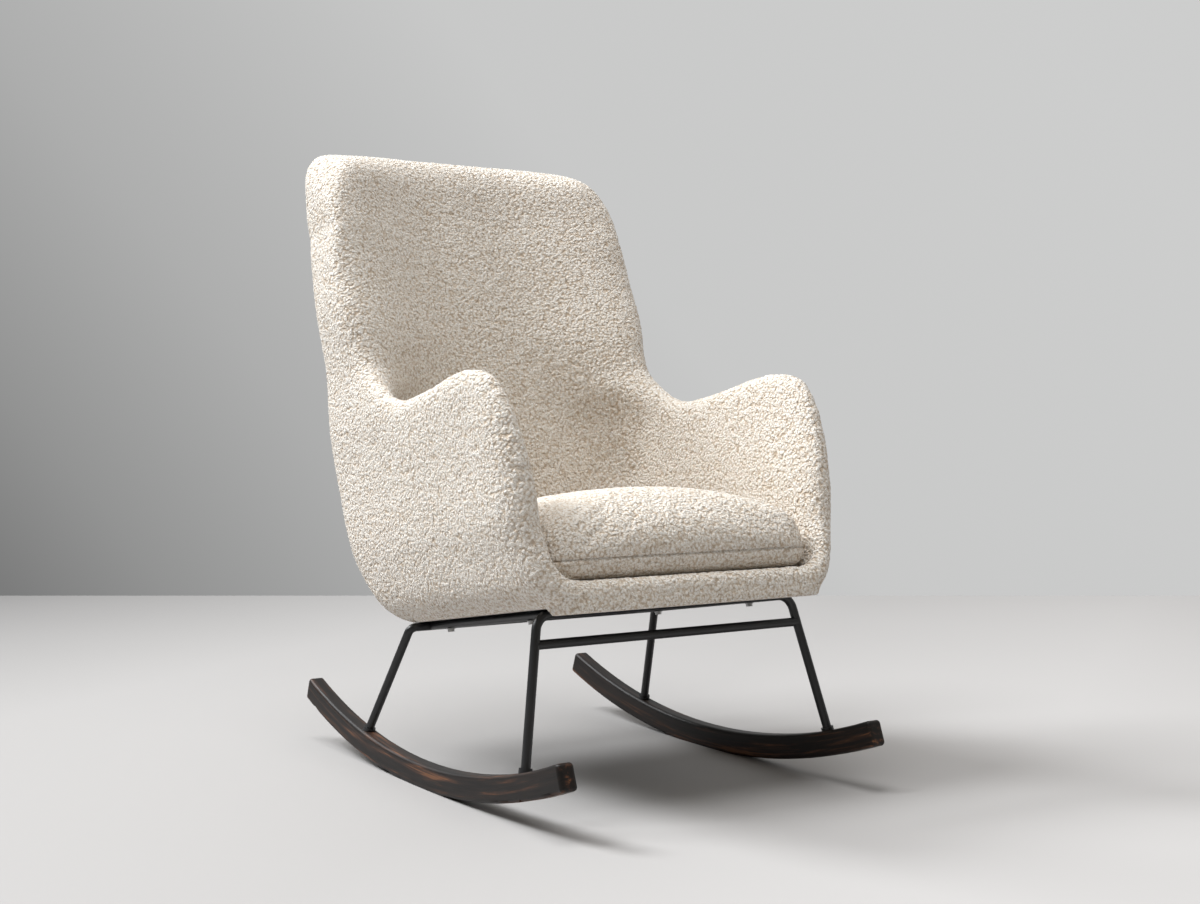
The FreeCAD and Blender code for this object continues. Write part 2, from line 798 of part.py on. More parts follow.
def rounded_rectangle(half, y0, y1, corner, height):
    q = corner * (1 - math.sqrt(0.5))
    corners = [(half, y0, -1, 1), (half, y1, -1, -1), (-half, y1, 1, -1), (-half, y0, 1, 1)]
    edges = []
    ends = []
    for number, (x, y, in_x, in_y) in enumerate(corners):
        on_x = Vec(x + in_x * corner, y, height)
        on_y = Vec(x, y + in_y * corner, height)
        middle = Vec(x + in_x * q, y + in_y * q, height)
        first, last = (on_x, on_y) if number % 2 == 0 else (on_y, on_x)
        ends.append((first, last))
        edges.append(Part.Arc(first, middle, last).toShape())
    for number in range(4):
        edges.append(Part.makeLine(ends[number][1], ends[(number + 1) % 4][0]))
    return Part.Wire(Part.__sortEdges__(edges))


def cushion_body(inset):
    """Block with upright sides, rounded lower edges and a low dome."""
    base = deck_height + soft_gap
    dome = cushion_crown - cushion_side_height
    levels = [
        (0, cushion_round), (cushion_round, 0), (cushion_side_height, 0),
        (cushion_side_height + 0.45 * dome, 20), (cushion_side_height + 0.8 * dome, 60),
        (cushion_crown, 120),
    ]
    wires = []
    for number, (rise, step) in enumerate(levels):
        height = base + rise
        if number == 0:
            height += inset
        if number == len(levels) - 1:
            height -= inset
        shrink = step + inset
        front = cushion_front + shrink
        rear = cushion_rear - shrink
        wires.append(rounded_rectangle(cushion_half - shrink, front, rear, cushion_corner - inset, height))
    return Part.makeLoft(wires, True, True)


def build_cushion():
    base = deck_height + soft_gap
    strip = box(-zip_length / 2, zip_length / 2, cushion_rear, cushion_rear + zip_thickness,
                base + zip_height, base + zip_height + zip_width)
    return {
        "cushion_cover": cushion_body(0).cut(cushion_body(cover_thickness)),
        "cushion_core": cushion_body(cover_thickness + soft_gap),
        "cushion_zip": strip,
    }


# Whole chair


def build_shell():
    nodes = build_seat_frame()
    frame = build_back_frame()
    for name, _ in SIDES:
        post = frame["back_post_" + name]
        frame["back_post_" + name] = post.cut(nodes["seat_rail_rear"])
    nodes.update(frame)

    foam_inset = cover_thickness + soft_gap
    rear_rail = nodes["seat_rail_rear"]
    posts = [frame["back_post_left"], frame["back_post_right"]]
    lining = back_body(cover_thickness, 2.0)
    nodes["back_cover"] = largest(back_body(0, 0).cut([lining, rear_rail] + posts))
    hollows = [back_hollow(), rear_rail] + list(frame.values())
    nodes["back_foam"] = largest(back_body(foam_inset, 0).cut(hollows))

    panel = arm_panel()
    cleats = [arm_cleat(arm_front + 90), arm_cleat(arm_rear - 60)]
    cover = largest(arm_body(0, 0).cut([arm_body(cover_thickness, 2.0)] + cleats))
    foam = largest(arm_body(foam_inset, 0).cut([panel] + cleats))
    nodes["arm_panel_left"] = panel
    nodes["arm_panel_right"] = mirrored(panel)
    nodes["arm_cleats"] = Part.makeCompound(cleats + [mirrored(cleat) for cleat in cleats])
    nodes["arm_cover_left"] = cover
    nodes["arm_cover_right"] = mirrored(cover)
    nodes["arm_foam_left"] = foam
    nodes["arm_foam_right"] = mirrored(foam)

    nodes["front_rail_cover"] = front_rail_pad(0, 0).cut(front_rail_pad(cover_thickness, 2.0))
    nodes["front_rail_foam"] = front_rail_pad(foam_inset, 0)
    nodes.update(build_cushion())
    return {name: placed(shape) for name, shape in nodes.items()}


nodes = build_base()
nodes.update(build_shell())

bounds = FreeCAD.BoundBox()
for shape in nodes.values():
    bounds.add(shape.optimalBoundingBox(False, False))
centre_y = (bounds.YMin + bounds.YMax) / 2

os.makedirs("parts", exist_ok=True)
for name, shape in nodes.items():
    shape.translate(Vec(0, -centre_y, -floor_rise))
    shape.exportStep(os.path.join("parts", name + ".step"))
sizes = [round(length, 1) for length in (bounds.XLength, bounds.YLength, bounds.ZLength)]
print("size", sizes, "shift", round(-centre_y, 3))
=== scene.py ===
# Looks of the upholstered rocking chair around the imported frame. Metres, +Z up, the sitter faces -Y.
# The soft pieces are drawn in the shell's own frame, in millimetres: x across, s towards the rear and
# t up from the seat plane. They are then leaned back by the seat tilt.
import json
import math

import bpy
import numpy as np
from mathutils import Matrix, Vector


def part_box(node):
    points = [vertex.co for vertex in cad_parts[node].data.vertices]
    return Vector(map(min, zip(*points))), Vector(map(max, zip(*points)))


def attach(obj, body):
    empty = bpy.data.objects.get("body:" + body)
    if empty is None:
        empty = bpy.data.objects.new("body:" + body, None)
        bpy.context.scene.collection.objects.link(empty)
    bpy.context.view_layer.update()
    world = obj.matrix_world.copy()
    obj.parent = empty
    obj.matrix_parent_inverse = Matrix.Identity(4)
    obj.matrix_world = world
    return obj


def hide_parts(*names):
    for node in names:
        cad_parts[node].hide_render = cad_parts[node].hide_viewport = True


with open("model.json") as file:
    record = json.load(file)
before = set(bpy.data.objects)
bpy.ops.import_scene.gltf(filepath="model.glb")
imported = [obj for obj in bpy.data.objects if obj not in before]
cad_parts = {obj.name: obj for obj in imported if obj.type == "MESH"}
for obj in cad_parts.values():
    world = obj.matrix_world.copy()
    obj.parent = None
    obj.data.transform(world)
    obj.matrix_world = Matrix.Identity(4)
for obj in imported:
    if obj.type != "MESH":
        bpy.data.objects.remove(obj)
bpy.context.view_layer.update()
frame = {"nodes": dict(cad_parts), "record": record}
nodes = frame["nodes"]
MM = 0.001

SEAT_TILT = math.radians(8.9)
DUST_COVER_FRONT = -255.0
DUST_COVER_REAR = 256.0

# The lowest corner of the dust cover gives the origin of the shell's frame.
dust_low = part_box("dust_cover")[0]
SEAT_Y = dust_low.y - DUST_COVER_FRONT * MM * math.cos(SEAT_TILT)
SEAT_Z = dust_low.z + DUST_COVER_REAR * MM * math.sin(SEAT_TILT)

# Shell outline, as (t, size) pairs
OUTLINE_TOP = 860.0
OUTER_HALF = [
    (0, 235), (15, 252), (40, 267), (80, 279), (140, 292), (220, 300), (290, 307),
    (340, 311), (400, 310), (480, 307), (600, 303), (720, 309), (860, 299),
]
OUTER_REAR = [
    (0, 262), (15, 293), (40, 322), (80, 350), (120, 368), (175, 382), (230, 391), (305, 399),
    (377, 401), (450, 402), (524, 409), (600, 423), (674, 440), (750, 454), (860, 452),
]
INNER_HALF = [
    (0, 238), (62, 240), (125, 244), (200, 250), (270, 258), (340, 264), (420, 268), (600, 282),
    (860, 282),
]
INNER_REAR = [
    (0, 242), (62, 247), (150, 256), (300, 272), (450, 292), (600, 317), (750, 348), (860, 366),
]
INNER_CORNER = [(0, 55), (220, 60), (320, 110), (420, 190), (520, 235), (860, 245)]
OUTER_CORNER = 75.0
# Side view of the rim, as (s, t): arm front, arm top, wing and the open rear
RIM = [
    (-286, -50), (-286, 100), (-290, 160), (-291, 210), (-286, 255), (-273, 294), (-251, 325),
    (-222, 348), (-188, 364), (-141, 374), (-90, 372), (-35, 366), (30, 363), (74, 363), (104, 369),
    (130, 383), (150, 409), (166, 446), (187, 500), (224, 598), (239, 648), (249, 702), (268, 755),
    (295, 805), (320, 850), (330, 950), (600, 950), (600, -50),
]
# How round the edges are at each height: outside and inside of the rim
OUTER_ROUND = [
    (0, 44), (60, 60), (140, 88), (250, 92), (310, 70), (345, 50), (372, 46), (480, 95), (760, 95),
    (860, 66),
]
RIM_ROUND = [
    (0, 20), (45, 22), (130, 44), (220, 46), (290, 46), (345, 42), (440, 105), (720, 105), (840, 60),
    (860, 60),
]
TOP_EDGE_ROUND = 20.0
# Changes of half width at each height; each sets in over a zone, from and to along s
ARM_TAPER = [(0, 0), (150, 5), (330, 11.5), (420, 12), (560, 5), (700, 0)]
TAPER_ZONE = (-200, 100)
INNER_TAPER = 0.6        # share of the taper on the inner face
ARM_FLARE = [(0, 8), (60, 8), (130, 12), (200, 8), (260, 5), (330, 0), (860, 0)]
FLARE_ZONE = (-40, -220)
WING_SPLAY = [(0, 0), (400, 0), (570, 18), (860, 18)]
SPLAY_ZONE = (430, 240)
FRONT_WIDER = 3.0        # the arms open a little towards the front
WIDER_ZONE = (-100, -230)
# Top of the back
TOP_HALF = 318.0
TOP_CORNER = 92.0        # at the wing fronts
TOP_CORNER_REAR = 62.0
TOP_CORNER_ZONE = (320, 430)
TOP_SIDE_FOOT = 690.0    # below this the top's sides spread out of the way
TOP_SIDE_LEAN = 0.5
TOP_HEIGHT = 873.0
TOP_SLOPE = 0.40         # the top edge rises towards the rear
TOP_SLOPE_FROM = 440.0
TOP_CROWN = 4.0
TOP_CROWN_HALF = 220.0
# Foot of the shell
DECK_HEIGHT = 36.0
SHELL_FLOOR = 28.0       # upper face of the padded base, under the deck
BAND_RISE = 8.0          # the band's top edge stands above the base, in front of the deck
BAND_ZONE = (-258, -264)
DECK_FILLET = 28.0       # between the inner faces and the deck
FOOT_FILLET = 46.0       # between the arm fronts and the band under the cushion
FILLET_ZONE = (-200, -250)
SHELL_UNDERSIDE = 0.5
UNDERSIDE_ROUND = 6.0
LIP_DROP = 11.5          # the cover hangs below the frame along the front edge
LIP_ZONE = (-234, -246)

# Deck under the cushion
DECK_HALF = 234.0
DECK_FRONT = -260.0
DECK_REAR = 238.0
DECK_CORNER = 40.0
DECK_SINK = 0.8          # mean top below the deck height
DECK_PUCKER = 0.5
PUCKER_ACROSS = 31.0
PUCKER_ALONG = 37.0
DECK_EDGE_ROUND = 9.0
DECK_UNDER_ROUND = 4.0
DECK_UNDER = 3.0         # underside below the shell's floor

# Dust cloth under the seat
CLOTH_HALF = 226.0
CLOTH_CORNER = 42.0
CLOTH_HANG = 0.2         # below the seat plane
CLOTH_RIPPLE = 0.15

# Cushion
CUSHION_HALF = 233.0
CUSHION_FRONT = -270.0
CUSHION_REAR = 236.0
CUSHION_BASE = DECK_HEIGHT + 0.8
CUSHION_CROWN = 186.0
CUSHION_WIDER = 7.0      # at the front
CUSHION_WIDER_ZONE = (-60, -230)
CUSHION_CORNER = 44.0
CUSHION_SHRINK = 9.0     # all round, before it swells
CUSHION_BASE_SHRINK = 3.0
CUSHION_EDGE_TOP = 114.0
CUSHION_DOME = 56.0
DOME_ACROSS = 0.45       # powers of the dome: the smaller, the flatter the middle
DOME_ALONG = 0.36
CUSHION_TOP_ROUND = 50.0
CUSHION_BASE_ROUND = 30.0
CUSHION_SEAM = 66.0
SEAM_DEPTH = 4.2
SEAM_WIDTH = 1.8
SEAM_HELD = 2.6          # these strips stay in place while it swells
BASE_HELD = 5.0
SWELL_MOST = 0.022       # metres
SWELL_FRAMES = 20

# Looped yarn
NUB_SIZE = 5.0
NUB_DEPTH = 1.6
NUB_REACH = 0.8          # squared reach of one loop, in cells
NUB_LIFT = 0.1           # how much the loops differ in height
NUB_LEVEL = 0.6          # loop height that stays on the surface
NUB_SEED = 7
NUB_DRAWS = 4096
NUB_HASH = (73856093, 19349663, 83492791)
LUMP_SIZE = NUB_SIZE * 3.1
LUMP_DEPTH = 0.9
LUMP_SEED = 11

GRID_STEP = 3.8

# Stage
CAMERA_AZIMUTH = math.radians(-33.0)
CAMERA_ELEVATION = math.radians(1.5)
CAMERA_DISTANCE = 2.6632
CAMERA_TARGET = Vector((0.0, -0.1163, 0.5221))
CAMERA_LENS = 49.35
FLOOR_BEHIND = 2.54
FLOOR_REACH = 9.0
# floor greys, from the lit floor to painted shade towards the far left of the camera's view
FLOOR_PAINTED_SHADE_GREYS = [(0.1, 0.48), (0.3, 0.4), (0.6, 0.36), (1.0, 0.19)]
WALL_ACROSS = 1.2
WALL_UP = 0.9
WALL_GREYS = [(0.0, 0.2), (0.1, 0.29), (0.28, 0.42), (0.6, 0.58), (1.0, 0.61)]
ROOM_LIGHT = [(0.1, (0.42, 0.395, 0.36)), (0.92, (1, 1, 1))]      # dimmer on the camera's side
COOL = (0.955, 0.98, 1.0)
COOL_PALE = (0.98, 0.99, 1.0)

away = Vector((-math.sin(CAMERA_AZIMUTH), math.cos(CAMERA_AZIMUTH), 0))
right = Vector((math.cos(CAMERA_AZIMUTH), math.sin(CAMERA_AZIMUTH), 0))
up = Vector((0, 0, 1))


# Curves and fields


def to_row(points):
    """Shell frame in millimetres to the row frame in metres."""
    points = np.asarray(points, float) * MM
    cos, sin = math.cos(SEAT_TILT), math.sin(SEAT_TILT)
    out = np.empty_like(points)
    out[:, 0] = points[:, 0]
    out[:, 1] = SEAT_Y + points[:, 1] * cos + points[:, 2] * sin
    out[:, 2] = SEAT_Z - points[:, 1] * sin + points[:, 2] * cos
    return out


def rise(at, start, end):
    """0 before start, 1 beyond end and straight between them; end may lie on either side of start."""
    return np.clip((at - start) / (end - start), 0, 1)


def spread(values, low, high):
    """Values stretched to run from low to high."""
    first, last = values.min(), values.max()
    return low + (values - first) * (high - low) / (last - first)


def smooth_curve(pairs, at):
    """Smooth curve through (position, value) pairs that never overshoots them."""
    pairs = np.array(pairs, float)
    x, y = pairs[:, 0], pairs[:, 1]
    step = np.diff(x)
    slope = np.diff(y) / step
    tangent = np.zeros_like(y)
    tangent[0], tangent[-1] = slope[0], slope[-1]
    for i in range(1, len(x) - 1):
        if slope[i - 1] * slope[i] > 0:
            near, far = 2 * step[i] + step[i - 1], step[i] + 2 * step[i - 1]
            tangent[i] = (near + far) / (near / slope[i - 1] + far / slope[i])
    at = np.clip(at, x[0], x[-1])
    i = np.clip(np.searchsorted(x, at, side="right") - 1, 0, len(step) - 1)
    u = (at - x[i]) / step[i]
    ends = y[i] * (2 * u**3 - 3 * u**2 + 1) + y[i + 1] * (3 * u**2 - 2 * u**3)
    return ends + step[i] * (tangent[i] * (u**3 - 2 * u**2 + u) + tangent[i + 1] * (u**3 - u**2))


def smooth_max(a, b, width):
    """The greater of two fields, rounded where they are nearly the same."""
    near = np.maximum(width - np.abs(a - b), 0) / width
    return np.maximum(a, b) + near * near * width * 0.25


def rounded_corner(across, along, corner):
    """Distance outside a quarter plane with a rounded corner; both inputs are from the corner's centre."""
    inside = np.minimum(np.maximum(across, along), 0)
    return inside + np.hypot(np.maximum(across, 0), np.maximum(along, 0)) - corner


def rounded_plan(x, along, half, reach, corner):
    """Distance outside a rounded rectangle; along is from its middle."""
    return rounded_corner(x - half + corner, np.abs(along) - reach + corner, corner)


def polygon_distance(x, y, polygon):
    """Signed distance to a closed polygon, negative inside."""
    polygon = np.array(polygon, float)
    nearest = np.full(x.shape, 1e9)
    inside = np.zeros(x.shape, bool)
    for a, b in zip(polygon, np.roll(polygon, -1, axis=0)):
        edge = b - a
        share = np.clip(((x - a[0]) * edge[0] + (y - a[1]) * edge[1]) / (edge @ edge), 0, 1)
        apart = (x - a[0] - share * edge[0])**2 + (y - a[1] - share * edge[1])**2
        nearest = np.minimum(nearest, apart)
        crosses = (a[1] <= y) != (b[1] <= y)
        if edge[1] != 0:
            inside ^= crosses & (x < a[0] + (y - a[1]) / edge[1] * edge[0])
    return np.where(inside, -1, 1) * np.sqrt(nearest)


def shell_field(x, s, t):
    """Negative inside the padded shell; x, s and t are axes of a grid with x from the middle outwards."""
    rim = polygon_distance(*np.meshgrid(s, t, indexing="ij"), RIM)[None]
    x, s = x[:, None, None], s[None, :, None]
    level = np.clip(t, 0, OUTLINE_TOP)
    taper = smooth_curve(ARM_TAPER, level) * rise(s, *TAPER_ZONE)
    flare = smooth_curve(ARM_FLARE, level) * rise(s, *FLARE_ZONE)
    splay = smooth_curve(WING_SPLAY, level) * rise(s, *SPLAY_ZONE)
    outer_half = smooth_curve(OUTER_HALF, level) - taper + flare + splay
    inner_half = smooth_curve(INNER_HALF, level) - INNER_TAPER * taper + FRONT_WIDER * rise(s, *WIDER_ZONE)
    outer_rear = smooth_curve(OUTER_REAR, level)
    inner_rear = smooth_curve(INNER_REAR, level)
    corner = smooth_curve(INNER_CORNER, level)
    outer = rounded_corner(x - outer_half + OUTER_CORNER, s - outer_rear + OUTER_CORNER, OUTER_CORNER)
    inner = rounded_corner(x - inner_half + corner, s - inner_rear + corner, corner)
    top = TOP_HEIGHT + TOP_SLOPE * (s - TOP_SLOPE_FROM) - TOP_CROWN * (x / TOP_CROWN_HALF)**2
    top_corner = TOP_CORNER + (TOP_CORNER_REAR - TOP_CORNER) * rise(s, *TOP_CORNER_ZONE)
    across = x - (TOP_HALF - top_corner) - TOP_SIDE_LEAN * np.maximum(0, TOP_SIDE_FOOT - t)
    edge = smooth_max(rim, rounded_corner(across, t - top + top_corner, top_corner), TOP_EDGE_ROUND)
    body = smooth_max(outer, edge, smooth_curve(OUTER_ROUND, level))
    floor = SHELL_FLOOR + BAND_RISE * rise(s, *BAND_ZONE)
    fillet = DECK_FILLET + (FOOT_FILLET - DECK_FILLET) * rise(s, *FILLET_ZONE)
    hollow = smooth_max(inner, floor - t, fillet)
    shell = smooth_max(body, -hollow, smooth_curve(RIM_ROUND, level))
    lip = LIP_DROP * rise(s, *LIP_ZONE)
    return smooth_max(shell, SHELL_UNDERSIDE - lip - t, UNDERSIDE_ROUND)


def deck_field(x, s, t):
    """Negative inside the thin pad under the cushion."""
    x, along = x[:, None, None], s[None, :, None] - (DECK_FRONT + DECK_REAR) / 2
    sides = rounded_plan(x, along, DECK_HALF, (DECK_REAR - DECK_FRONT) / 2, DECK_CORNER)
    pucker = DECK_PUCKER * np.cos(x / PUCKER_ACROSS) * np.cos(along / PUCKER_ALONG)
    padded = smooth_max(sides, t - DECK_HEIGHT + DECK_SINK - pucker, DECK_EDGE_ROUND)
    return smooth_max(padded, SHELL_FLOOR - DECK_UNDER - t, DECK_UNDER_ROUND)


def cushion_field(x, s, t):
    """Negative inside the cushion before it is inflated."""
    half = CUSHION_HALF - CUSHION_SHRINK
    front, rear = CUSHION_FRONT + CUSHION_SHRINK, CUSHION_REAR - CUSHION_SHRINK
    reach = (rear - front) / 2
    x, along = x[:, None, None], s[None, :, None] - (front + rear) / 2
    sides = rounded_plan(x, along, half, reach, CUSHION_CORNER)
    dome = np.clip(1 - (x / half)**2, 0, 1)**DOME_ACROSS
    dome = dome * np.clip(1 - (along / reach)**2, 0, 1)**DOME_ALONG
    puffed = smooth_max(sides, t - (CUSHION_EDGE_TOP + CUSHION_DOME * dome), CUSHION_TOP_ROUND)
    return smooth_max(puffed, CUSHION_BASE + CUSHION_BASE_SHRINK - t, CUSHION_BASE_ROUND)


# Meshes


def surface_net(values, axes):
    """Quad mesh of the zero level of values on a regular grid."""
    inside = values < 0
    cells = tuple(n - 1 for n in values.shape)
    count = np.zeros(cells)
    total = np.zeros(cells + (3,))
    grid = np.indices(cells)
    quads = []
    for axis in range(3):
        one, two = [a for a in range(3) if a != axis]
        near = [slice(None)] * 3
        far = [slice(None)] * 3
        near[axis], far[axis] = slice(None, -1), slice(1, None)
        a, b = values[tuple(near)], values[tuple(far)]
        cross = inside[tuple(near)] != inside[tuple(far)]
        share = np.where(cross, a / np.where(cross, a - b, 1), 0)
        for shift_one in (0, 1):
            for shift_two in (0, 1):
                pick = [slice(None)] * 3
                pick[one] = slice(shift_one, shift_one + cells[one])
                pick[two] = slice(shift_two, shift_two + cells[two])
                hit = cross[tuple(pick)]
                count += hit
                total[..., axis] += hit * (grid[axis] + share[tuple(pick)])
                total[..., one] += hit * (grid[one] + shift_one)
                total[..., two] += hit * (grid[two] + shift_two)
        inner = [slice(None)] * 3
        inner[one], inner[two] = slice(1, -1), slice(1, -1)
        found = np.argwhere(cross[tuple(inner)])
        found[:, one] += 1
        found[:, two] += 1
        ring = []
        for shift_one, shift_two in ((1, 1), (0, 1), (0, 0), (1, 0)):
            cell = found.copy()
            cell[:, one] -= shift_one
            cell[:, two] -= shift_two
            ring.append(np.ravel_multi_index(cell.T, cells))
        ring = np.stack(ring, axis=1)
        flip = inside[tuple(near)][tuple(found.T)] == (axis == 1)
        ring[flip] = ring[flip][:, ::-1]
        quads.append(ring)
    used = count.ravel() > 0
    number = np.cumsum(used) - 1
    place = total.reshape(-1, 3)[used] / count.ravel()[used][:, None]
    corner = np.array([axis[0] for axis in axes])
    step = np.array([axis[1] - axis[0] for axis in axes])
    return corner + place * step, number[np.concatenate(quads)]


def mirrored_net(field, half_x, s, t):
    """Mesh of a field that is the same on both sides of the middle."""
    half = field(half_x, s, t)
    whole = np.concatenate([half[:0:-1], half])
    return surface_net(whole, (np.concatenate([-half_x[:0:-1], half_x]), s, t))


def relaxed(points, quads, rounds):
    """Evens out the mesh; each round moves every point half way to the mean of its neighbours and back."""
    starts = np.concatenate([quads[:, i] for i in range(4)])
    ends = np.concatenate([quads[:, (i + 1) % 4] for i in range(4)])
    degree = np.bincount(starts, minlength=len(points))[:, None]
    for share in (0.5, -0.52) * rounds:
        sums = [np.bincount(starts, points[ends, axis], len(points)) for axis in range(3)]
        mean = np.stack(sums, axis=1) / degree
        points = points + share * (mean - points)
    return points


def new_object(name, points, faces):
    mesh = bpy.data.meshes.new(name)
    mesh.from_pydata(points.tolist(), [], faces.tolist())
    mesh.polygons.foreach_set("use_smooth", np.ones(len(faces), bool))
    mesh.update()
    made = bpy.data.objects.new(name, mesh)
    bpy.context.scene.collection.objects.link(made)
    return made


def mesh_points(mesh):
    flat = np.empty(len(mesh.vertices) * 3, np.float32)
    mesh.vertices.foreach_get("co", flat)
    return flat.reshape(-1, 3).astype(float)


def set_points(mesh, points):
    mesh.vertices.foreach_set("co", points.astype(np.float32).ravel())


def mesh_normals(mesh):
    flat = np.empty(len(mesh.vertices) * 3, np.float32)
    mesh.vertex_normals.foreach_get("vector", flat)
    return flat.reshape(-1, 3).astype(float)


def subdivided(made):
    """Replaces an object's mesh by its subdivision surface."""
    modifier = made.modifiers.new("rounding", "SUBSURF")
    modifier.levels = 1
    modifier.render_levels = 1
    bpy.context.view_layer.update()
    depsgraph = bpy.context.evaluated_depsgraph_get()
    old = made.data
    made.data = bpy.data.meshes.new_from_object(made.evaluated_get(depsgraph))
    made.modifiers.clear()
    made.data.name = made.name
    bpy.data.meshes.remove(old)
    return made


def nub_height(points, size, seed):
    """Height from 0 to 1 of short loops of yarn of one size scattered through space."""
    draw = np.random.default_rng(seed)
    jitter = draw.random((NUB_DRAWS, 3))
    lift = NUB_LIFT * draw.random(NUB_DRAWS)
    scaled = points / size
    cell = np.floor(scaled).astype(np.int64)
    nearest = np.full(len(points), 9.0)
    for i in (-1, 0, 1):
        for j in (-1, 0, 1):
            for k in (-1, 0, 1):
                near = cell + (i, j, k)
                mixed = near * np.array(NUB_HASH)
                pick = (mixed[:, 0] ^ mixed[:, 1] ^ mixed[:, 2]) % NUB_DRAWS
                apart = scaled - near - jitter[pick]
                squared = np.einsum("ij,ij->i", apart, apart) + lift[pick]
                nearest = np.minimum(nearest, squared)
    return np.clip(1 - nearest / NUB_REACH, 0, 1)


def loop_cover(made, extra=0.0):
    """Raises the looped yarn on a finished surface and keeps its height for the material."""
    mesh = made.data
    points = mesh_points(mesh)
    height = nub_height(points * 1000, NUB_SIZE, NUB_SEED)
    lumps = nub_height(points * 1000, LUMP_SIZE, LUMP_SEED)
    normals = mesh_normals(mesh)
    shown = np.clip((normals[:, 2] + 0.97) / 0.1, 0, 1)      # none on the flat underside
    move = shown * (NUB_DEPTH * (height - NUB_LEVEL) + LUMP_DEPTH * (lumps - NUB_LEVEL)) + extra
    set_points(mesh, points + normals * (move * MM)[:, None])
    layer = mesh.attributes.new("nub", "FLOAT", "POINT")
    layer.data.foreach_set("value", height.astype(np.float32))
    mesh.update()
    return made


def inflated(made, most):
    """Lets the padding swell by cloth simulation, with the seam held, and gives the points it ends at."""
    before = mesh_points(made.data)
    cloth = made.modifiers.new("swell", "CLOTH")
    settings = cloth.settings
    settings.quality = 5
    settings.mass = 0.3
    settings.tension_stiffness = 12
    settings.compression_stiffness = 12
    settings.shear_stiffness = 6
    settings.bending_stiffness = 0.8
    settings.use_pressure = True
    settings.uniform_pressure_force = 4.0
    settings.effector_weights.gravity = 0
    settings.vertex_group_mass = "held"
    cloth.collision_settings.use_collision = False
    scene = bpy.context.scene
    for number in range(1, SWELL_FRAMES + 1):
        scene.frame_set(number)
    depsgraph = bpy.context.evaluated_depsgraph_get()
    swollen = bpy.data.meshes.new_from_object(made.evaluated_get(depsgraph))
    after = mesh_points(swollen)
    bpy.data.meshes.remove(swollen)
    made.modifiers.clear()
    scene.frame_set(1)
    move = after - before
    length = np.linalg.norm(move, axis=1)[:, None]
    return before + move * np.minimum(1, most / np.maximum(length, 1e-9))


# Materials


class Nodes:
    """Short ways to add nodes to a shader tree."""

    def __init__(self, tree):
        self.tree = tree

    def put(self, socket, value):
        """Links another node's output, or sets a constant."""
        if isinstance(value, bpy.types.NodeSocket):
            self.tree.links.new(value, socket)
        else:
            socket.default_value = value

    def node(self, kind, **inputs):
        made = self.tree.nodes.new(kind)
        for name, value in inputs.items():
            self.put(made.inputs[name], value)
        return made

    def math(self, kind, *values):
        made = self.tree.nodes.new("ShaderNodeMath")
        made.operation = kind
        for socket, value in zip(made.inputs, values):
            self.put(socket, value)
        return made.outputs[0]

    def vectors(self, kind, a, b):
        made = self.tree.nodes.new("ShaderNodeVectorMath")
        made.operation = kind
        self.put(made.inputs[0], a)
        self.put(made.inputs[1], b)
        return made.outputs["Value" if kind == "DOT_PRODUCT" else "Vector"]

    def ramp(self, value, *stops):
        made = self.tree.nodes.new("ShaderNodeValToRGB")
        self.put(made.inputs[0], value)
        band = made.color_ramp
        while len(band.elements) < len(stops):
            band.elements.new(0.5)
        for element, (place, colour) in zip(band.elements, stops):
            element.position = place
            element.color = (*colour, 1)
        return made.outputs[0]


class Look(Nodes):
    """A node material with one Principled shader."""

    def __init__(self, name):
        self.material = bpy.data.materials.new(name)
        self.material.use_nodes = True
        super().__init__(self.material.node_tree)
        self.shader = self.tree.nodes["Principled BSDF"]

    def set(self, name, value):
        self.put(self.shader.inputs[name], value)

    def place(self):
        return self.tree.nodes.new("ShaderNodeTexCoord").outputs["Object"]

    def stretched(self, scale):
        return self.node("ShaderNodeMapping", Vector=self.place(), Scale=scale).outputs[0]

    def noise(self, vector, scale, detail=3.0, rough=0.55, warp=0.0):
        made = self.node("ShaderNodeTexNoise", Vector=vector, Scale=scale, Detail=detail)
        self.put(made.inputs["Roughness"], rough)
        self.put(made.inputs["Distortion"], warp)
        return made.outputs[0]

    def domes(self, vector, scale):
        """Heights up to 1 of round tips scattered through space; scale is their number per metre."""
        apart = self.node("ShaderNodeTexVoronoi", Vector=vector, Scale=scale).outputs["Distance"]
        return self.math("SUBTRACT", 1.0, self.math("MULTIPLY", apart, apart))

    def multiplied(self, share, colour, tint):
        """Colour multiplied by a tint, as far as share says."""
        made = self.tree.nodes.new("ShaderNodeMix")
        made.data_type = "RGBA"
        made.blend_type = "MULTIPLY"
        self.put(made.inputs[0], share)
        self.put(made.inputs[6], colour)
        self.put(made.inputs[7], (*tint, 1))
        return made.outputs[2]

    def bump(self, height, strength, depth):
        return self.node("ShaderNodeBump", Height=height, Strength=strength, Distance=depth).outputs[0]


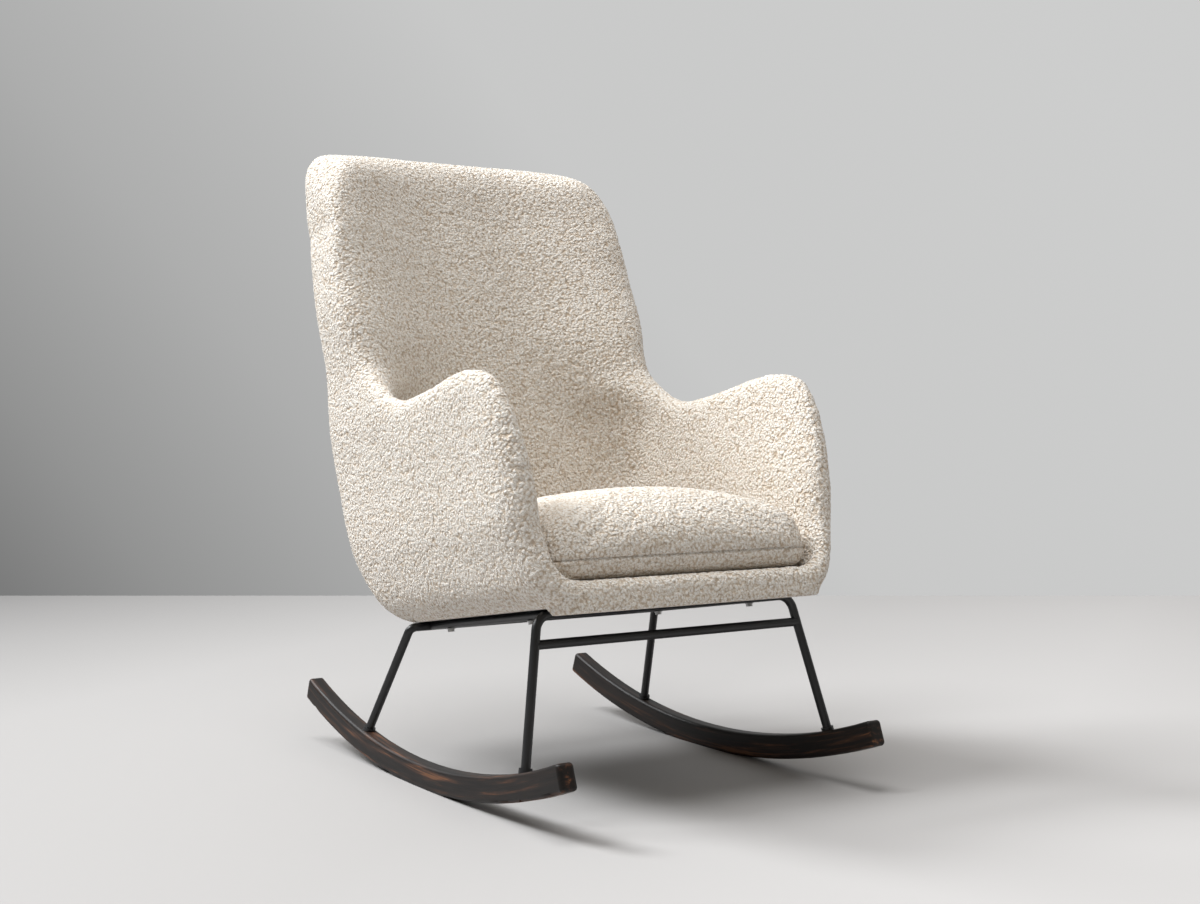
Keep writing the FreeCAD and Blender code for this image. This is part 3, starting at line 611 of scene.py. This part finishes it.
def boucle():
    """Cream looped yarn: the yarn's own cream, darker and warmer in the dips between the loops as painted
    shade, with painted highlights on the loop tips.
    """
    look = Look("boucle")
    attribute = look.tree.nodes.new("ShaderNodeAttribute")
    attribute.attribute_name = "nub"
    place = look.place()
    loops = look.domes(place, 225.0)
    curls = look.domes(place, 500.0)
    height = look.math("MULTIPLY_ADD", curls, 0.3, look.math("MULTIPLY", loops, 0.55))
    height = look.math("MULTIPLY_ADD", attribute.outputs["Fac"], 0.15, height)
    height = look.math("MULTIPLY_ADD", look.math("SUBTRACT", height, 0.69), 2.0, 0.5)
    # the middle colour is the yarn's own cream; the darker warm ground colour is painted shade in the dips
    # between the loops; the palest colour is a painted highlight on the loop tips
    ground, middle, painted_highlight = (0.64, 0.52, 0.4), (0.84, 0.765, 0.675), (0.97, 0.945, 0.905)
    yarn = look.ramp(height, (0.05, ground), (0.5, middle), (0.9, painted_highlight))
    patch = look.math("MULTIPLY", look.noise(place, 9.0, 2.0), 0.1)
    look.set("Base Color", look.multiplied(patch, yarn, (0.86, 0.8, 0.72)))
    look.set("Roughness", look.math("MULTIPLY_ADD", curls, 0.1, 0.84))
    look.set("Sheen Weight", 0.15)
    look.set("Sheen Roughness", 0.4)
    look.set("Specular IOR Level", 0.15)
    look.set("Normal", look.bump(height, 1.0, 0.0024))
    return look.material


def plain_weave(name, dark, light, threads):
    """Cloth of crossing threads; threads is the number per metre."""
    look = Look(name)
    apart = look.node("ShaderNodeSeparateXYZ", Vector=look.place())
    turn = 2 * math.pi * threads
    warp = look.math("SINE", look.math("MULTIPLY", apart.outputs[0], turn))
    weft = look.math("SINE", look.math("MULTIPLY", apart.outputs[1], turn))
    weave = look.math("MULTIPLY_ADD", look.math("MULTIPLY", warp, weft), 0.5, 0.5)
    slub = look.noise(look.stretched((300, 40, 40)), 4.0, 3.0)
    value = look.math("MULTIPLY_ADD", weave, 0.6, look.math("MULTIPLY", slub, 0.4))
    look.set("Base Color", look.ramp(value, (0.15, dark), (0.75, light)))
    look.set("Roughness", look.math("MULTIPLY_ADD", value, -0.1, 0.95))
    look.set("Normal", look.bump(value, 0.4, 0.0008))
    return look.material


def powder_coat():
    look = Look("black_powder_coat")
    place = look.place()
    grain = look.noise(place, 900.0, 3.0, 0.6)
    cloud = look.noise(place, 14.0, 3.0)
    dark, light = (0.008, 0.008, 0.009), (0.018, 0.018, 0.019)
    look.set("Base Color", look.ramp(cloud, (0.3, dark), (0.75, light)))
    rough = look.math("MULTIPLY_ADD", grain, 0.08, 0.3)
    look.set("Roughness", look.math("MULTIPLY_ADD", cloud, 0.14, rough))
    look.set("Normal", look.bump(grain, 0.12, 0.0004))
    return look.material


def plated_steel():
    look = Look("plated_steel")
    place = look.place()
    rub = look.noise(look.stretched((60, 60, 900)), 3.0, 4.0)
    cloud = look.noise(place, 60.0, 3.0)
    look.set("Base Color", look.ramp(cloud, (0.3, (0.42, 0.42, 0.43)), (0.8, (0.63, 0.62, 0.6))))
    look.set("Metallic", 1.0)
    look.set("Roughness", look.math("MULTIPLY_ADD", rub, 0.3, 0.22))
    look.set("Normal", look.bump(rub, 0.1, 0.0003))
    return look.material


def straight_wood(name, dark, light, along):
    """Planed timber with its grain along one axis of the row frame."""
    look = Look(name)
    scale = [90.0, 90.0, 90.0]
    scale[along] = 5.0
    grain = look.noise(look.stretched(scale), 1.0, 5.0, 0.6, 0.6)
    pores = look.noise(look.stretched([8 * value for value in scale]), 1.0, 2.0)
    value = look.math("MULTIPLY_ADD", pores, 0.3, look.math("MULTIPLY", grain, 0.7))
    look.set("Base Color", look.ramp(value, (0.3, dark), (0.7, light)))
    look.set("Roughness", look.math("MULTIPLY_ADD", grain, 0.2, 0.55))
    look.set("Normal", look.bump(pores, 0.25, 0.0005))
    return look.material


def streaky_ebony(arc_y, arc_z):
    """Dark wood with brown streaks that follow the rocker's arc."""
    look = Look("streaky_dark_wood")
    apart = look.node("ShaderNodeSeparateXYZ", Vector=look.place())
    across = apart.outputs[0]
    along = look.math("SUBTRACT", apart.outputs[1], arc_y)
    drop = look.math("SUBTRACT", arc_z, apart.outputs[2])
    angle = look.math("ARCTAN2", along, drop)
    squares = look.math("ADD", look.math("MULTIPLY", along, along), look.math("MULTIPLY", drop, drop))
    radius = look.math("SQRT", squares)
    bent = look.node("ShaderNodeCombineXYZ")
    for socket, value, scale in zip(bent.inputs, (across, angle, radius), (70.0, 5.5, 95.0)):
        look.put(socket, look.math("MULTIPLY", value, scale))
    streak = look.noise(bent.outputs[0], 1.0, 4.0, 0.62, 0.35)
    pores = look.noise(look.vectors("MULTIPLY", bent.outputs[0], (9, 7, 9)), 1.0, 3.0)
    value = look.math("MULTIPLY_ADD", pores, 0.16, look.math("MULTIPLY", streak, 0.84))
    colour = look.ramp(value, (0.4, (0.005, 0.0035, 0.003)), (0.53, (0.013, 0.008, 0.006)),
                       (0.6, (0.06, 0.026, 0.014)), (0.67, (0.18, 0.075, 0.032)),
                       (0.75, (0.04, 0.018, 0.011)))
    look.set("Base Color", colour)
    look.set("Roughness", look.math("MULTIPLY_ADD", pores, 0.2, 0.4))
    look.set("Specular IOR Level", 0.3)
    look.set("Normal", look.bump(pores, 0.16, 0.0005))
    return look.material


def floor_look():
    """Pale floor with painted shade that deepens towards the far corner on the left of the camera's view.
    """
    look = Look("floor")
    cloud = look.noise(look.place(), 0.8, 2.0)
    # darker towards the far left of the camera's view: painted shade
    far = look.vectors("DOT_PRODUCT", look.place(), away * 0.1 - right * 0.25)
    share = look.math("MULTIPLY_ADD", cloud, 0.04, look.math("ADD", far, 0.28))
    stops = [(place, (1.03 * grey, grey, 0.985 * grey)) for place, grey in FLOOR_PAINTED_SHADE_GREYS]
    look.set("Base Color", look.ramp(share, *stops))
    look.set("Roughness", look.math("MULTIPLY_ADD", cloud, 0.1, 0.6))
    look.set("Specular IOR Level", 0.2)
    return look.material


def studio_world():
    """Pale grey studio wall: darker low on the left of the camera's view, lighter to the right."""
    world = bpy.data.worlds.new("studio")
    world.use_nodes = True
    tree = Nodes(world.node_tree)
    direction = tree.node("ShaderNodeTexCoord").outputs["Generated"]
    slant = tree.vectors("DOT_PRODUCT", direction, right * WALL_ACROSS + up * WALL_UP)
    stops = [(place, (grey, 1.005 * grey, grey)) for place, grey in WALL_GREYS]
    wall = tree.ramp(tree.math("ADD", slant, 0.5), *stops)
    behind = tree.vectors("DOT_PRODUCT", direction, away * 1.3 + right * 0.6)
    dim = tree.ramp(behind, *ROOM_LIGHT)
    tree.put(world.node_tree.nodes["Background"].inputs["Color"], tree.vectors("MULTIPLY", wall, dim))
    return world


def dress(look, *names):
    """Gives a material to CAD nodes that stay."""
    for name in names:
        mesh = nodes[name].data
        mesh.materials.clear()
        mesh.materials.append(look)


BOUCLE = boucle()
ROCKER_RADIUS = 1.260
CONTACT_Y = frame["record"]["mounts"][0]["pos_m"][1]
dress(streaky_ebony(CONTACT_Y, ROCKER_RADIUS), "rocker_left", "rocker_right")
dress(powder_coat(), "front_hoop", "rear_hoop", "side_rail_left", "side_rail_right", "front_stretcher",
      "leg_collars")
dress(plated_steel(), "leg_plugs", "rocker_bolts", "shell_bolts", "shell_washers", "shell_inserts")
BEECH = ((0.42, 0.27, 0.15), (0.66, 0.48, 0.31))
PLY = ((0.5, 0.36, 0.22), (0.74, 0.6, 0.42))
dress(straight_wood("beech_across", *BEECH, 0), "seat_rail_front", "seat_rail_rear", "corner_blocks",
      "back_top_rail", "back_middle_rail", "back_lower_rail")
dress(straight_wood("beech_along", *BEECH, 1), "seat_rail_left", "seat_rail_right", "arm_cleats")
dress(straight_wood("beech_upright", *BEECH, 2), "back_post_left", "back_post_right")
dress(straight_wood("plywood", *PLY, 1), "arm_panel_left", "arm_panel_right")
dress(plain_weave("webbing", (0.05, 0.04, 0.03), (0.2, 0.17, 0.13), 500.0), "seat_webbing", "back_webbing")
DECK_CLOTH = plain_weave("deck_cloth", (0.5, 0.46, 0.4), (0.74, 0.7, 0.62), 900.0)
DUST_CLOTH = plain_weave("dust_cloth", (0.006, 0.006, 0.006), (0.025, 0.025, 0.025), 700.0)
dress(plain_weave("zip_tape", (0.5, 0.45, 0.38), (0.75, 0.7, 0.62), 1500.0), "cushion_zip")


# Shell

half_x = np.arange(0, 345, GRID_STEP)
axis_s = np.arange(-315, 505, GRID_STEP)
axis_t = np.arange(-14, 905, GRID_STEP)
points, quads = mirrored_net(shell_field, half_x, axis_s, axis_t)
shell = new_object("shell_upholstery", to_row(relaxed(points, quads, 3)), quads)
loop_cover(subdivided(shell))
shell.data.materials.append(BOUCLE)
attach(shell, "chair")
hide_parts("back_cover", "arm_cover_left", "arm_cover_right", "front_rail_cover", "back_foam",
            "arm_foam_left", "arm_foam_right", "front_rail_foam")


# Deck under the cushion

half_x = np.arange(0, 250, 5.0)
axis_s = np.arange(-276, 256, 5.0)
axis_t = np.arange(16, 46, 2.0)
points, quads = mirrored_net(deck_field, half_x, axis_s, axis_t)
deck = new_object("seat_deck", to_row(relaxed(points, quads, 3)), quads)
deck.data.materials.append(DECK_CLOTH)
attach(deck, "chair")
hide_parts("deck_cover", "deck_pad")


# Dust cloth, a rectangle with its corners cut

rows = np.linspace(DUST_COVER_FRONT, DUST_COVER_REAR, 65)
columns = np.linspace(-1, 1, 57)
from_end = np.minimum(rows - DUST_COVER_FRONT, DUST_COVER_REAR - rows)
short = np.clip(CLOTH_CORNER - from_end, 0, CLOTH_CORNER)
sheet_x = np.outer(CLOTH_HALF - short, columns)
sheet_s = np.repeat(rows[:, None], len(columns), axis=1)
sheet_t = -CLOTH_HANG + CLOTH_RIPPLE * np.sin(sheet_x / 17) * np.sin(sheet_s / 23)
points = np.stack([sheet_x, sheet_s, sheet_t], axis=-1).reshape(-1, 3)
number = np.arange(sheet_x.size).reshape(sheet_x.shape)
quads = np.stack([number[:-1, :-1], number[1:, :-1], number[1:, 1:], number[:-1, 1:]], axis=-1)
dust = new_object("dust_cloth", to_row(points), quads.reshape(-1, 4))
dust.data.materials.append(DUST_CLOTH)
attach(dust, "chair")
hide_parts("dust_cover")


# Cushion

half_x = np.arange(0, 250, GRID_STEP)
axis_s = np.arange(-290, 260, GRID_STEP)
axis_t = np.arange(20, 200, GRID_STEP)
points, quads = mirrored_net(cushion_field, half_x, axis_s, axis_t)
points = relaxed(points, quads, 2)
cushion = new_object("seat_cushion", points * MM, quads)
held = cushion.vertex_groups.new(name="held")
on_seam = np.abs(points[:, 2] - CUSHION_SEAM) < SEAM_HELD
on_base = points[:, 2] < CUSHION_BASE + BASE_HELD
for strip in (on_seam, on_base):
    held.add(np.nonzero(strip)[0].tolist(), 1.0, "REPLACE")
points = inflated(cushion, SWELL_MOST) * 1000
points[:, 0] = spread(points[:, 0], -CUSHION_HALF, CUSHION_HALF)
points[:, 1] = spread(points[:, 1], CUSHION_FRONT, CUSHION_REAR)
points[:, 0] *= 1 + CUSHION_WIDER / CUSHION_HALF * rise(points[:, 1], *CUSHION_WIDER_ZONE)
points[:, 2] = spread(points[:, 2], CUSHION_BASE, CUSHION_CROWN)
set_points(cushion.data, to_row(points))
cushion.vertex_groups.clear()
subdivided(cushion)
row = mesh_points(cushion.data)
height = (row[:, 2] - SEAT_Z) * math.cos(SEAT_TILT) + (row[:, 1] - SEAT_Y) * math.sin(SEAT_TILT)
seam = -SEAM_DEPTH * np.exp(-((height * 1000 - CUSHION_SEAM) / SEAM_WIDTH)**2)
loop_cover(cushion, seam)
cushion.data.materials.append(BOUCLE)
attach(cushion, "cushion")
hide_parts("cushion_cover", "cushion_core")


# Stage, light and camera

camera_data = bpy.data.cameras.new("camera")
camera_data.sensor_width = 36.0
camera_data.lens = CAMERA_LENS
camera = bpy.data.objects.new("camera", camera_data)
bpy.context.scene.collection.objects.link(camera)
back = -away * math.cos(CAMERA_ELEVATION) + up * math.sin(CAMERA_ELEVATION)
camera.location = CAMERA_TARGET + back * CAMERA_DISTANCE
camera.rotation_euler = (-back).to_track_quat("-Z", "Y").to_euler()
bpy.context.scene.camera = camera

ground = Vector((CAMERA_TARGET.x, CAMERA_TARGET.y, 0))
corners = []
for deep, wide in ((-FLOOR_REACH, -1), (-FLOOR_REACH, 1), (FLOOR_BEHIND, 1), (FLOOR_BEHIND, -1)):
    corners.append(ground + away * deep + right * wide * FLOOR_REACH)
floor = new_object("floor", np.array(corners), np.array([[0, 1, 2, 3]]))
floor.data.materials.append(floor_look())
bpy.context.scene.world = studio_world()


def area_light(name, towards, distance, size, power, colour):
    data = bpy.data.lights.new(name, "AREA")
    data.shape = "DISK"
    data.size = size
    data.energy = power
    data.color = colour
    made = bpy.data.objects.new(name, data)
    bpy.context.scene.collection.objects.link(made)
    direction = towards.normalized()
    made.location = CAMERA_TARGET + direction * distance
    made.rotation_euler = direction.to_track_quat("Z", "Y").to_euler()


area_light("key", right * -0.735 + away * 0.242 + up * 0.634, 8.0, 2.4, 540, COOL)
area_light("side", right * -0.55 - away * 0.02 + up * 0.83, 8.0, 2.8, 400, COOL)
area_light("top", right * -0.12 - away * 0.15 + up, 7.0, 4.0, 290, COOL_PALE)
bpy.context.scene.view_settings.view_transform = "Standard"
